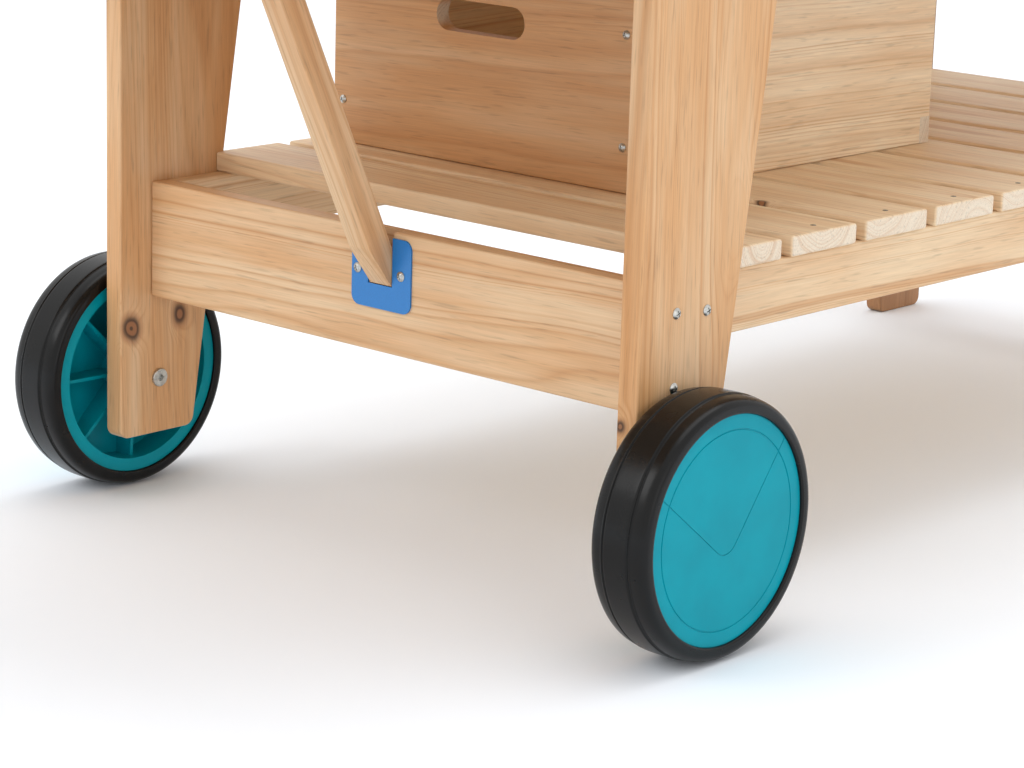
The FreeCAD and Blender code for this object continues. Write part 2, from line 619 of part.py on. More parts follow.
def axle_fixings(side):
    """Make one axle's bolt, its nut with washer, and the sleeve with collar that carries the wheel."""
    axle = Vector(side * size(f"{OUTSIDE} + wheel_out"), size("axle_place"), size("axle_height"))
    inward = Vector(-side, 0, 0)
    to_post = size("wheel_out")
    head_start = to_post + size("stock")
    radius = size("bolt_radius")
    shaft = Part.makeCylinder(radius, head_start - SHAFT_START, axle + inward * SHAFT_START, inward)
    head = Part.makeCylinder(HEAD_RADIUS, HEAD_RISE, axle + inward * head_start, inward)
    top_edges = [item for item in head.Edges if abs(item.BoundBox.Center.x) < size(INSIDE) - HEAD_RISE / 2]
    head = head.makeFillet(HEAD_ROUNDING, top_edges)
    socket = hexagon(axle + inward * (head_start + HEAD_RISE + 0.1), SOCKET_RADIUS)
    socket = socket.extrude(inward * -(SOCKET_DEPTH + 0.1))
    bolt = shaft.fuse(head).cut(socket).removeSplitter()
    nut = hexagon(axle + inward * NUT_START, NUT_RADIUS).extrude(inward * NUT_RISE)
    washer = Part.makeCylinder(WASHER_RADIUS, WASHER_RISE, axle + inward * (NUT_START + NUT_RISE), inward)
    bolt_room = Part.makeCylinder(radius, 80, axle, inward)
    sleeve_start = axle + inward * SLEEVE_START
    sleeve = Part.makeCylinder(size("sleeve_radius"), to_post - SLEEVE_START, sleeve_start, inward)
    collar = Part.makeCylinder(WASHER_RADIUS, to_post - COLLAR_START, axle + inward * COLLAR_START, inward)
    return (bolt, nut.fuse(washer).cut(bolt_room).removeSplitter(),
            sleeve.fuse(collar).cut(bolt_room).removeSplitter())


for side, word in ((-1, "left"), (1, "right")):
    for maker, name in ((make_rim, "wheel_rim"), (make_tyre, "wheel_tyre"), (make_cap, "wheel_cap")):
        piece = maker(f"{name}_{word}_body")
        wheel_place(piece, side)
        keep(piece, f"{name}_{word}")
bolts, nuts, sleeves = zip(*(axle_fixings(side) for side in (-1, 1)))
plain("axle_bolts", Part.makeCompound(list(bolts)))
plain("axle_nuts", Part.makeCompound(list(nuts)))
plain("axle_sleeves", Part.makeCompound(list(sleeves)))

# ---------------------------------------------------------------- crate
CRATE_FLOOR = "(deck_height + slat + loose_gap)"
CRATE_FRONT = "(axle_place + crate_start)"
CRATE_BACK = "(axle_place + crate_start + crate_length)"


def hand_hole(name, along):
    """Make the cutter for a round-ended hand hole through a crate end."""
    middle = "crate_left + crate_width / 2"
    height = f"{CRATE_FLOOR} + crate_rise - hole_drop"
    parts = [block(name + "_middle", ("hole_length", "crate_wall + 2", "2 * hole_radius"),
                   (f"{middle} - hole_length / 2", along, f"{height} - hole_radius"))]
    for side in (-1, 1):
        parts.append(rod(f"{name}_end_{side + 1}", "hole_radius", "crate_wall + 2",
                         (f"{middle} + {side} * hole_length / 2", along, height), (0, 1, 0)))
    joined = document.addObject("Part::MultiFuse", name)
    joined.Shapes = parts
    return joined


front = eased(block("crate_front_panel", ("crate_width", "crate_wall", "crate_rise"),
                    ("crate_left", CRATE_FRONT, CRATE_FLOOR)), 1.5, "crate_front_panel")
keep(cut(front, hand_hole("front_hand_hole", f"{CRATE_FRONT} - 1"), "crate_front"), "crate_front")

back_low = block("crate_tongue", ("crate_width", "crate_wall", "crate_notch"),
                 ("crate_left", f"{CRATE_BACK} - crate_wall", CRATE_FLOOR))
back_high = block("crate_back_panel", ("crate_width - 2 * crate_wall", "crate_wall", "crate_rise - 1"),
                  ("crate_left + crate_wall", f"{CRATE_BACK} - crate_wall", f"{CRATE_FLOOR} + 1"))
back = document.addObject("Part::MultiFuse", "crate_back_joined")
back.Shapes = [back_low, back_high]
keep(cut(back, hand_hole("back_hand_hole", f"{CRATE_BACK} - crate_wall - 1"), "crate_back"), "crate_back")

for side, word in ((-1, "left"), (1, "right")):
    start = {-1: "crate_left", 1: "crate_left + crate_width - crate_wall"}[side]
    panel = eased(block(f"crate_side_{word}_panel", ("crate_wall", "crate_length - crate_wall", "crate_rise"),
                        (start, f"{CRATE_FRONT} + crate_wall", CRATE_FLOOR)), 1.2, f"crate_side_{word}_panel")
    notch = block(f"crate_side_{word}_notch", ("crate_wall + 2", "crate_wall + 1", "crate_notch + 1"),
                  (f"{start} - 1", f"{CRATE_BACK} - crate_wall", f"{CRATE_FLOOR} - 1"))
    keep(cut(panel, notch, f"crate_side_{word}"), f"crate_side_{word}")

board("crate_bottom", ("crate_width - 2 * crate_wall", "crate_length - 2 * crate_wall", "bottom_sheet"),
      ("crate_left + crate_wall", f"{CRATE_FRONT} + crate_wall", f"{CRATE_FLOOR} + bottom_rise"), 1.0)

# ---------------------------------------------------------------- pull handle
# The handle hangs from its bolts and its grip lies against the outer edges of the legs.
hang = math.asin((size("post_front + frame_length - handle_place + grip_radius") + size("loose_gap"))
                 / size("handle_reach"))
handle_pivot = Vector(0, size("axle_place + handle_place"), size("handle_height"))
arm_down = Vector(0, math.sin(hang), -math.cos(hang))
arm_across = Vector(0, math.cos(hang), math.sin(hang))
ARM_GAP = 1.0
TENON_STEP = 3


def make_arm(side):
    """Make a flat handle arm with round ends, a bolt hole and a hole for the grip."""
    thickness = size("handle_stock")
    half = size("handle_width") / 2
    face = size(OUTSIDE) + ARM_GAP
    start = Vector(face if side > 0 else -face - thickness, 0, 0)
    end = handle_pivot + arm_down * size("handle_reach")
    across = Vector(thickness, 0, 0)
    corners = [handle_pivot - arm_across * half, handle_pivot + arm_across * half,
               end + arm_across * half, end - arm_across * half]
    flat = Part.Face(Part.makePolygon([point + start for point in corners + corners[:1]])).extrude(across)
    ends = [Part.makeCylinder(half, thickness, point + start, X_AXIS) for point in (handle_pivot, end)]
    shape = flat.fuse(ends).removeSplitter()
    rims = [item for item in shape.Edges if item.BoundBox.XLength < 0.1]
    shape = shape.makeFillet(2.0, rims)
    longer = Vector(-1, 0, 0)
    bolt_hole = Part.makeCylinder(size("bolt_radius") + 0.08, thickness + 2, handle_pivot + start + longer,
                                  X_AXIS)
    tenon_radius = size("grip_radius") - TENON_STEP
    grip_hole = Part.makeCylinder(tenon_radius, thickness + 2, end + start + longer, X_AXIS)
    return shape.cut([bolt_hole, grip_hole])


def make_grip():
    """Make the round grip with a shouldered end in each arm."""
    end = handle_pivot + arm_down * size("handle_reach")
    face = size(OUTSIDE) + ARM_GAP
    reach = face + size("handle_stock")
    bar = Part.makeCylinder(size("grip_radius"), 2 * face, end - Vector(face, 0, 0), X_AXIS)
    tenon_radius = size("grip_radius") - TENON_STEP
    tenon = Part.makeCylinder(tenon_radius, 2 * reach, end - Vector(reach, 0, 0), X_AXIS)
    return bar.fuse(tenon).removeSplitter()


def make_handle_bolt(side):
    """Make a handle pivot bolt: button head outside the arm, shaft through arm and leg, nut inside."""
    face = size(OUTSIDE) + ARM_GAP + size("handle_stock")
    outer = handle_pivot + Vector(side * (face + 0.3), 0, 0)
    inward = Vector(-side, 0, 0)
    length = face + 0.3 - size(INSIDE) + 6
    shaft = Part.makeCylinder(size("bolt_radius"), length, outer, inward)
    head = Part.makeCylinder(8, 4, outer - inward * 4, inward)
    head = head.makeFillet(2.5, [item for item in head.Edges if abs(item.BoundBox.Center.x) > face + 3])
    nut = Part.makeCylinder(7.5, 5, handle_pivot + Vector(side * size(INSIDE), 0, 0), inward)
    return shaft.fuse([head, nut]).removeSplitter()


plain("handle_arm_left", make_arm(-1))
plain("handle_arm_right", make_arm(1))
plain("handle_grip", make_grip())
plain("handle_bolts", Part.makeCompound([make_handle_bolt(side) for side in (-1, 1)]))

# ---------------------------------------------------------------- screws


def screw_head(place, normal, radius=4.2, rise=2.2):
    """Make a domed screw head with a cross recess, standing on a face with this outward normal."""
    profile = Part.makePolygon([Vector(0, 0, 0), Vector(radius, 0, 0), Vector(radius, 0, 0.5)])
    on_dome = Vector(radius * 0.72, 0, rise * 0.72)
    arc = Part.Arc(Vector(radius, 0, 0.5), on_dome, Vector(0, 0, rise)).toShape()
    stem = Part.makeLine(Vector(0, 0, rise), Vector(0, 0, 0))
    wire = Part.Wire(profile.Edges + [arc, stem])
    shape = Part.Face(wire).revolve(Vector(0, 0, 0), Vector(0, 0, 1), 360)
    for turn in (0, 90):
        blade = Part.makeBox(radius * 1.1, 0.9, 2, Vector(-radius * 0.55, -0.45, rise - 1.3))
        blade.rotate(Vector(0, 0, 0), Vector(0, 0, 1), turn + 20)
        shape = shape.cut(blade)
    shape.Placement = FreeCAD.Placement(place, FreeCAD.Rotation(Vector(0, 0, 1), normal))
    return shape


# Each screw through a post or leg into a rail: place along the cart from the axle, height.
FRAME_SCREWS = ((-1.7, 243.5), (-1.7, 189.5), (32.4, 241.0), (-1.7, 534.0), (-1.7, 514.0), (32.4, 516.0))

frame_heads = []
for side in (-1, 1):
    face = side * size(OUTSIDE)
    normal = Vector(side, 0, 0)
    for mirror in (False, True):
        for along, height in FRAME_SCREWS:
            place = size("axle_place") + along
            if mirror:
                place = size(LEG_BACK) + size("post_front") - along
            frame_heads.append(screw_head(Vector(face, place, height), normal))

seat_front = size(RAIL_FRONT) - size("seat_sheet")
for side in (-1, 1):
    frame_heads.append(screw_head(seat_screw(side, seat_front), Vector(0, -1, 0), 3.9, 2.0))

leaf_heads = []
HINGE_SCREW = (2.15, 1.45)
plate_middle = size("knuckle_radius") + 0.35 + 15
for middle in HINGE_PLACES:
    for across in (-20, 20):
        for outward, heads in ((1, frame_heads), (-1, leaf_heads)):
            along = size(HINGE_ALONG) + outward * plate_middle
            place = Vector(middle + across, along, size("counter_height + slat"))
            heads.append(Part.makeCylinder(*HINGE_SCREW, place))
for along in (-24, 24):
    under_bracket = Vector(pivot.x, pivot.y + along, size("counter_height") - BRACKET_SHEET)
    leaf_heads.append(screw_head(under_bracket, Vector(0, 0, -1), 3.6, 1.8))

crate_heads = []
for across in (size("crate_left") + 11.5, size("crate_left + crate_width") - 11.5):
    for rise in (36, 124):
        place = Vector(across, size(CRATE_FRONT), size(CRATE_FLOOR) + rise)
        crate_heads.append(screw_head(place, Vector(0, -1, 0), 3.6, 1.8))
plain("frame_screws", Part.makeCompound(frame_heads))
plain("leaf_screws", Part.makeCompound(leaf_heads))
plain("crate_screws", Part.makeCompound(crate_heads))

# ---------------------------------------------------------------- check and write
document.recompute()
labels = [piece.Label for piece in pieces]
assert len(labels) == len(set(labels)), "two sub-parts share a label"
assert len(labels) <= 60, "too many sub-parts"
for thing in document.Objects:
    assert not {"Invalid", "Error"} & set(thing.State), f"{thing.Label} failed: {thing.State}"
os.makedirs("parts", exist_ok=True)
whole = FreeCAD.BoundBox()
for piece in pieces:
    assert not piece.Shape.isNull() and piece.Shape.isValid(), f"{piece.Label} has no valid shape"
    piece.Shape.exportStep(f"parts/{piece.Label}.step")
    whole.add(piece.Shape.BoundBox)
print(len(pieces), "sub-parts,", "box", whole)
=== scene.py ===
"""Looks of a two-wheeled wooden play cart: finishes, tyres, deck nails, studio and camera.

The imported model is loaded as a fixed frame. Every board keeps its own mesh and gets its own piece of the tree,
the tyres are replaced by finer ones, and small nails are added to the deck.
"""

import logging
import math
import zlib
from dataclasses import dataclass, field
from enum import Enum

import bpy
import numpy as np
from mathutils import Matrix, Vector


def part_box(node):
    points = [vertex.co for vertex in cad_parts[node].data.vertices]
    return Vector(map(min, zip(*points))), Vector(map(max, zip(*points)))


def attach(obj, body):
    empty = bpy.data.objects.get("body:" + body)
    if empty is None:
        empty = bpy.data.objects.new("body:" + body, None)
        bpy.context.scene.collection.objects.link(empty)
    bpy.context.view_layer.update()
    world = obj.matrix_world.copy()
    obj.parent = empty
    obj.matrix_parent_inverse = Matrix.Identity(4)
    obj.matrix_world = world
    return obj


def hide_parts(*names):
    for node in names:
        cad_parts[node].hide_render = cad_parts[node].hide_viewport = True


MM = 0.001
PER_MM = 1000.0

Tree = bpy.types.NodeTree
Socket = bpy.types.NodeSocket
Node = bpy.types.Node

log = logging.getLogger("play_cart")
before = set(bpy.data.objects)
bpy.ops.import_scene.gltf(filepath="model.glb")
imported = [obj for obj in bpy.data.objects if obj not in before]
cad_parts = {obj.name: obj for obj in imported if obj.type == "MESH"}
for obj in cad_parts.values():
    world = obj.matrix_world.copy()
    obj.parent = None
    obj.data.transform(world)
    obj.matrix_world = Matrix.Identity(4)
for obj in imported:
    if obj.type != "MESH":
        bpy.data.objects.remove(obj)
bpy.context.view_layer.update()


# ---------------------------------------------------------------- shared helpers
def linear(code: str) -> tuple[float, float, float, float]:
    """Turns an sRGB hex colour into linear light.

    Args:
        code: six hex digits, with or without a leading #.

    Returns:
        Red, green, blue and an alpha of one.
    """
    parts = [int(code.lstrip("#")[place:place + 2], 16) / 255 for place in (0, 2, 4)]
    bent = [part / 12.92 if part <= 0.04045 else ((part + 0.055) / 1.055) ** 2.4 for part in parts]
    return (bent[0], bent[1], bent[2], 1.0)


def add_node(tree: Tree, kind: str, inputs: dict | None = None, stops: tuple = (),
             **settings: object) -> Node:
    """Adds one node to a tree, with its settings, its values and its links.

    Args:
        tree: the node tree that gets the node.
        kind: the node type's name.
        inputs: a value or another node's output for each input, by name or number.
        stops: places and colours for a colour ramp.
        settings: the node's own properties.

    Returns:
        The new node.
    """
    node = tree.nodes.new(kind)
    for name, value in settings.items():
        setattr(node, name, value)
    for name, value in (inputs or {}).items():
        if isinstance(value, Socket):
            tree.links.new(value, node.inputs[name])
        else:
            node.inputs[name].default_value = value
    for number, (place, colour) in enumerate(stops):
        ramp = node.color_ramp.elements
        stop = ramp[number] if number < 2 else ramp.new(place)
        stop.position = place
        stop.color = colour
    return node


def new_material(name: str) -> tuple[bpy.types.Material, Tree]:
    """Starts an empty material.

    Args:
        name: the material's name.

    Returns:
        The material and its node tree.
    """
    material = bpy.data.materials.new(name)
    material.use_nodes = True
    material.node_tree.nodes.clear()
    return material, material.node_tree


def give(thing: bpy.types.Object, *materials: bpy.types.Material) -> None:
    """Puts materials in a mesh's slots in place of those it had.

    Args:
        thing: the object that is dressed.
        materials: one material for each slot, in order.
    """
    thing.data.materials.clear()
    for material in materials:
        thing.data.materials.append(material)


def grid_mesh(name: str, points: np.ndarray, closed: tuple[bool, bool],
              zones: np.ndarray | None = None) -> bpy.types.Object:
    """Makes a mesh from a grid of points, one quad between each four neighbours.

    Args:
        name: the name of the object and its mesh.
        points: rows x columns x 3, in metres.
        closed: whether the last row joins the first, and the last column the first.
        zones: a material number for each row of quads.

    Returns:
        The new object, linked to the scene.
    """
    rows, columns = points.shape[:2]
    row = np.arange(rows if closed[0] else rows - 1)[:, None]
    column = np.arange(columns if closed[1] else columns - 1)[None, :]
    next_row, next_column = (row + 1) % rows, (column + 1) % columns
    corners = [row * columns + column, row * columns + next_column,
               next_row * columns + next_column, next_row * columns + column]
    quads = np.stack([corner + 0 * row + 0 * column for corner in corners], axis=-1).reshape(-1, 4)
    mesh = bpy.data.meshes.new(name)
    mesh.from_pydata(points.reshape(-1, 3).tolist(), [], quads.tolist())
    mesh.polygons.foreach_set("use_smooth", np.ones(len(quads), bool))
    if zones is not None:
        mesh.polygons.foreach_set("material_index", np.repeat(zones[:len(row)], column.size).astype(np.int32))
    mesh.update()
    thing = bpy.data.objects.new(name, mesh)
    bpy.context.scene.collection.objects.link(thing)
    return thing


# ---------------------------------------------------------------- wood
class Grain(Enum):
    """Which way the fibres of a board run, with one direction across them."""

    ACROSS = ((1.0, 0.0, 0.0), (0.0, 1.0, 0.0))
    ALONG = ((0.0, 1.0, 0.0), (0.0, 0.0, 1.0))
    UP = ((0.0, 0.0, 1.0), (1.0, 0.0, 0.0))
    LEANING = ((0.0, -0.4384, 0.8988), (1.0, 0.0, 0.0))

    def turn(self) -> Matrix:
        """Gives the turn that brings the fibres upright, as z.

        Returns:
            A rotation matrix.
        """
        fibres, side = Vector(self.value[0]), Vector(self.value[1])
        return Matrix((side, fibres.cross(side), fibres))


@dataclass(frozen=True)
class Knot:
    """A branch stub, or with no radius just the swelling over a buried one.

    The place is in the frame, and like the radius, the height of the swelling and its reach it is in mm. Squeeze
    under one draws the knot out along the grain.
    """

    place: tuple[float, float, float]
    radius: float = 4.0
    swell: float = 9.0
    reach: float = 18.0
    squeeze: float = 0.8


@dataclass(frozen=True)
class Timber:
    """Colours of one kind of wood under a clear satin varnish."""

    early: str
    early_warm: str
    late: str
    knot: str
    knot_edge: str
    end: str


PINE = Timber("#E3C7A2", "#D09F6E", "#B97E45", "#8E5A34", "#3E1F0D", "#DCCBB4")
# Pine darkened below its own colour: painted shade, used on the far leg.
PINE_WITH_PAINTED_SHADE = Timber("#B58A62", "#A5764E", "#8A5E3A", "#6E4426", "#3A1D0D", "#A88460")
# Pine lightened above its own colour: painted light, used on the deck boards and the crate sides under the counter.
PINE_WITH_PAINTED_LIGHT = Timber("#F2DDBC", "#E2BC90", "#C0884E", "#8E5A34", "#3E1F0D", "#E2D2BC")
BEECH = Timber("#D3A67C", "#C69468", "#B57C52", "#8A5A34", "#4A2A14", "#C49E78")


@dataclass(frozen=True)
class PlanedWood:
    """Pine (or beech), planed and given two thin coats of satin water varnish.

    The eye sees pale early wood, thin orange late-wood lines that run straight on a quarter-sawn face and in arches
    on a flat-sawn one, ring arcs on the board ends, fine fibre streaks and a few knots. The rings are cylinders
    round a pith line that wanders a little, so each face of a board shows the cut that belongs to it.
    Lengths are in mm. `pith` is where the pith lies from the board's middle, in the grain's two cross directions.
    """

    grain: Grain
    pith: tuple[float, float] = (0.0, -70.0)
    tilt: tuple[float, float] = (1.0, 0.5)
    ring: float = 4.2
    wander: float = 26.0
    warmth: float = 0.4
    contrast: float = 0.6
    dash_depth: float = 0.17
    knots: tuple[Knot, ...] = ()
    timber: Timber = PINE
    seed: float = 0.0

    def material(self, name: str, middle: Vector) -> bpy.types.Material:
        """Builds the node tree.

        Args:
            name: the material's name.
            middle: the middle of the board, in metres.

        Returns:
            The finished material.
        """
        material, tree = new_material(name)
        tilts = [Matrix.Rotation(math.radians(angle), 3, axis) for angle, axis in zip(self.tilt, "XY")]
        lean = tilts[0] @ tilts[1]
        turn = lean @ self.grain.turn()
        off_pith = -(turn @ (middle * PER_MM)) - Vector((*self.pith, 0.0))
        where = add_node(tree, "ShaderNodeTexCoord")
        in_tree = add_node(tree, "ShaderNodeMapping", {
            "Vector": where.outputs["Object"], "Location": off_pith, "Rotation": turn.to_euler(),
            "Scale": (PER_MM, PER_MM, PER_MM)}).outputs[0]
        seats = [turn @ (Vector(knot.place) - middle * PER_MM) - Vector((*self.pith, 0.0)) for knot in self.knots]
        distance, knot_shades = self._distance(tree, in_tree, seats)
        late = self._late_wood(tree, distance)
        fibre, dashes, drift = self._fibres(tree, in_tree)
        end = self._end_face(tree, where.outputs["Normal"])
        colour = self._colour(tree, late, fibre, dashes, drift, end, knot_shades)
        rough = add_node(tree, "ShaderNodeMapRange", {"Value": fibre, "To Min": 0.40, "To Max": 0.56}).outputs[0]
        relief = add_node(tree, "ShaderNodeMath", {0: late, 1: 0.5, 2: fibre}, operation="MULTIPLY_ADD").outputs[0]
        bump = add_node(tree, "ShaderNodeBump", {"Height": relief, "Strength": 0.5, "Distance": 0.06 * MM})
        shader = add_node(tree, "ShaderNodeBsdfPrincipled", {
            "Base Color": colour, "Roughness": rough, "Normal": bump.outputs[0], "IOR": 1.5,
            "Specular IOR Level": 0.4})
        add_node(tree, "ShaderNodeOutputMaterial", {"Surface": shader.outputs[0]})
        return material

    def _distance(self, tree: Tree, in_tree: Socket, seats: list[Vector]) -> tuple[Socket, list]:
        """Distance from the wandering pith line, pushed aside round each knot.

        Args:
            tree: the node tree.
            in_tree: place in the log, in mm, with the pith on z.
            seats: the knots' places in the log, in mm.

        Returns:
            The distance in mm, and for each knot the distance from its own axis.
        """
        drawn_out = add_node(tree, "ShaderNodeVectorMath", {0: in_tree, 1: (1.0, 1.0, 0.16)}, operation="MULTIPLY")
        noise = add_node(tree, "ShaderNodeTexNoise", {
            "Vector": drawn_out.outputs[0], "W": self.seed, "Scale": 1 / 75.0, "Detail": 2.0, "Roughness": 0.5},
            noise_dimensions="4D")
        centred = add_node(tree, "ShaderNodeVectorMath", {0: noise.outputs["Color"], 1: (0.5, 0.5, 0.5)},
                           operation="SUBTRACT")
        shift = add_node(tree, "ShaderNodeVectorMath", {0: centred.outputs[0], "Scale": self.wander},
                         operation="SCALE")
        moved = add_node(tree, "ShaderNodeVectorMath", {0: in_tree, 1: shift.outputs[0]}, operation="ADD")
        flat = add_node(tree, "ShaderNodeVectorMath", {0: moved.outputs[0], 1: (1.0, 1.0, 0.0)},
                        operation="MULTIPLY")
        distance = add_node(tree, "ShaderNodeVectorMath", {0: flat.outputs[0]}, operation="LENGTH").outputs["Value"]
        shades = []
        for knot, seat in zip(self.knots, seats):
            axis = Vector((seat.x, seat.y, 0.25 * math.hypot(seat.x, seat.y))).normalized()
            from_knot = add_node(tree, "ShaderNodeVectorMath", {0: in_tree, 1: seat},
                                 operation="SUBTRACT").outputs[0]
            on_axis = add_node(tree, "ShaderNodeVectorMath", {0: from_knot, 1: axis},
                               operation="PROJECT").outputs[0]
            aside = add_node(tree, "ShaderNodeVectorMath", {0: from_knot, 1: on_axis},
                             operation="SUBTRACT").outputs[0]
            squeezed = add_node(tree, "ShaderNodeVectorMath", {0: aside, 1: (1.0, 1.0, knot.squeeze)},
                                operation="MULTIPLY").outputs[0]
            gap = add_node(tree, "ShaderNodeVectorMath", {0: squeezed}, operation="LENGTH").outputs["Value"]
            push = add_node(tree, "ShaderNodeMapRange", {
                "Value": gap, "From Min": 0.0, "From Max": knot.reach, "To Min": knot.swell, "To Max": 0.0},
                interpolation_type="SMOOTHERSTEP").outputs[0]
            distance = add_node(tree, "ShaderNodeMath", {0: distance, 1: push}, operation="SUBTRACT").outputs[0]
            if knot.radius:
                shades.append((knot, gap))
        return distance, shades

    def _late_wood(self, tree: Tree, distance: Socket) -> Socket:
        """Share of late wood: it rises slowly through each ring and stops short, with rings of unequal width.

        Args:
            tree: the node tree.
            distance: distance from the pith, in mm.

        Returns:
            Nought in early wood, up to one in the darkest late wood.
        """
        uneven = add_node(tree, "ShaderNodeTexNoise", {
            "W": add_node(tree, "ShaderNodeMath", {0: distance, 1: self.seed * 40}, operation="ADD").outputs[0],
            "Scale": 1 / (self.ring * 3.0), "Detail": 1.0}, noise_dimensions="1D").outputs[0]
        stretched = add_node(tree, "ShaderNodeMath", {0: uneven, 1: self.ring * 5.0, 2: distance},
                             operation="MULTIPLY_ADD").outputs[0]
        count = add_node(tree, "ShaderNodeMath", {0: stretched, 1: self.ring}, operation="DIVIDE").outputs[0]
        part = add_node(tree, "ShaderNodeMath", {0: count}, operation="FRACT").outputs[0]
        grey = [(place, (shade, shade, shade, 1.0)) for place, shade in
                ((0.0, 0.55), (1.0, 0.55), (0.10, 0.02), (0.50, 0.10), (0.76, 0.42), (0.92, 1.0))]
        profile = add_node(tree, "ShaderNodeValToRGB", {"Fac": part}, stops=tuple(grey)).outputs[0]
        strength = add_node(tree, "ShaderNodeMapRange", {
            "Value": uneven, "From Min": 0.30, "From Max": 0.72, "To Min": 0.15, "To Max": 1.0}).outputs[0]
        return add_node(tree, "ShaderNodeMath", {0: profile, 1: strength}, operation="MULTIPLY").outputs[0]

    def _fibres(self, tree: Tree, in_tree: Socket) -> tuple[Socket, Socket, Socket]:
        """Fine fibres (0.7 mm wide), short resin dashes (about 0.8 x 12 mm) and a slow drift of colour.

        Args:
            tree: the node tree.
            in_tree: place in the log, in mm, with the pith on z.

        Returns:
            The fibres, the dashes and the drift, each from nought to one.
        """
        thin = add_node(tree, "ShaderNodeVectorMath", {0: in_tree, 1: (1.0, 1.0, 0.02)}, operation="MULTIPLY")
        fibre = add_node(tree, "ShaderNodeTexNoise", {
            "Vector": thin.outputs[0], "Scale": 1 / 1.4, "Detail": 3.0, "Roughness": 0.6}).outputs[0]
        short = add_node(tree, "ShaderNodeVectorMath", {0: in_tree, 1: (1.0, 1.0, 0.07)}, operation="MULTIPLY")
        dash = add_node(tree, "ShaderNodeTexNoise", {
            "Vector": short.outputs[0], "Scale": 1 / 2.0, "Detail": 1.0}).outputs[0]
        dashes = add_node(tree, "ShaderNodeMapRange", {
            "Value": dash, "From Min": 0.60, "From Max": 0.74, "To Min": 0.0, "To Max": 1.0}).outputs[0]
        broad = add_node(tree, "ShaderNodeVectorMath", {0: in_tree, 1: (1.0, 1.0, 0.12)}, operation="MULTIPLY")
        drift = add_node(tree, "ShaderNodeTexNoise", {
            "Vector": broad.outputs[0], "W": self.seed + 3.0, "Scale": 1 / 24.0, "Detail": 2.0},
            noise_dimensions="4D").outputs[0]
        return fibre, dashes, drift

    def _end_face(self, tree: Tree, normal: Socket) -> Socket:
        """One on a sawn board end, nought on the long faces: how far the surface looks along the fibres.

        Args:
            tree: the node tree.
            normal: the surface's normal.

        Returns:
            The share of end grain.
        """
        looks = add_node(tree, "ShaderNodeVectorMath", {0: normal, 1: self.grain.value[0]},
                         operation="DOT_PRODUCT").outputs["Value"]
        size = add_node(tree, "ShaderNodeMath", {0: looks}, operation="ABSOLUTE").outputs[0]
        return add_node(tree, "ShaderNodeMapRange", {"Value": size, "From Min": 0.55, "From Max": 0.9}).outputs[0]

    def _colour(self, tree: Tree, late: Socket, fibre: Socket, dashes: Socket, drift: Socket, end: Socket,
                knot_shades: list[tuple[Knot, Socket]]) -> Socket:
        """Mixes early wood, late wood, fibres, resin dashes, board ends and knots into one colour.

        Args:
            tree: the node tree.
            late: share of late wood.
            fibre: fine fibre streaks.
            dashes: resin dashes.
            drift: slow drift of colour.
            end: share of end grain.
            knot_shades: each knot with the distance from its axis, in mm.

        Returns:
            The surface colour.
        """
        warm = add_node(tree, "ShaderNodeMapRange", {
            "Value": drift, "From Min": 0.34, "From Max": 0.66,
            "To Min": self.warmth - 0.35, "To Max": self.warmth + 0.35}).outputs[0]
        early = self._mix(tree, warm, linear(self.timber.early), linear(self.timber.early_warm))
        pale_end = self._mix(tree, end, early, linear(self.timber.end))
        much = add_node(tree, "ShaderNodeMath", {0: late, 1: self.contrast}, operation="MULTIPLY").outputs[0]
        ringed = self._mix(tree, much, pale_end, linear(self.timber.late))
        streak = add_node(tree, "ShaderNodeMapRange", {
            "Value": fibre, "From Min": 0.3, "From Max": 0.7, "To Min": 0.90, "To Max": 1.06}).outputs[0]
        dashed = add_node(tree, "ShaderNodeMath", {0: dashes, 1: -self.dash_depth, 2: streak},
                          operation="MULTIPLY_ADD").outputs[0]
        colour = add_node(tree, "ShaderNodeVectorMath", {0: ringed, "Scale": dashed}, operation="SCALE").outputs[0]
        for knot, gap in knot_shades:
            rough_gap = add_node(tree, "ShaderNodeMath", {0: drift, 1: knot.radius * 1.6, 2: gap},
                                 operation="MULTIPLY_ADD").outputs[0]
            share = add_node(tree, "ShaderNodeMath", {0: rough_gap, 1: knot.radius * 3.2}, operation="DIVIDE")
            tone = linear(self.timber.knot)
            dark = linear(self.timber.knot_edge)
            ring = add_node(tree, "ShaderNodeValToRGB", {"Fac": share.outputs[0]}, stops=(
                (0.0, dark), (1.0, linear(self.timber.late)), (0.27, dark), (0.31, tone), (0.42, tone),
                (0.47, dark),
                (0.55, dark), (0.66, tone)))
            cover = add_node(tree, "ShaderNodeMapRange", {
                "Value": share.outputs[0], "From Min": 0.50, "From Max": 0.85, "To Min": 0.92, "To Max": 0.0})
            colour = self._mix(tree, cover.outputs[0], colour, ring.outputs[0])
        return colour

    @staticmethod
    def _mix(tree: Tree, share: Socket, first: tuple | Socket, second: tuple | Socket) -> Socket:
        """Mixes two colours or colour outputs by a share.

        Args:
            tree: the node tree.
            share: how much of the second colour is taken.
            first: a colour, or another node's output.
            second: a colour, or another node's output.

        Returns:
            The mixed colour.
        """
        return add_node(tree, "ShaderNodeMix", {0: share, 6: first, 7: second}, data_type="RGBA").outputs[2]


def board_seed(name: str) -> np.random.Generator:
    """Gives a fixed source of variation for a piece, from its name.

    Args:
        name: the piece's node name.

    Returns:
        A random generator with the name's own seed.
    """
    return np.random.default_rng(zlib.crc32(name.encode()))


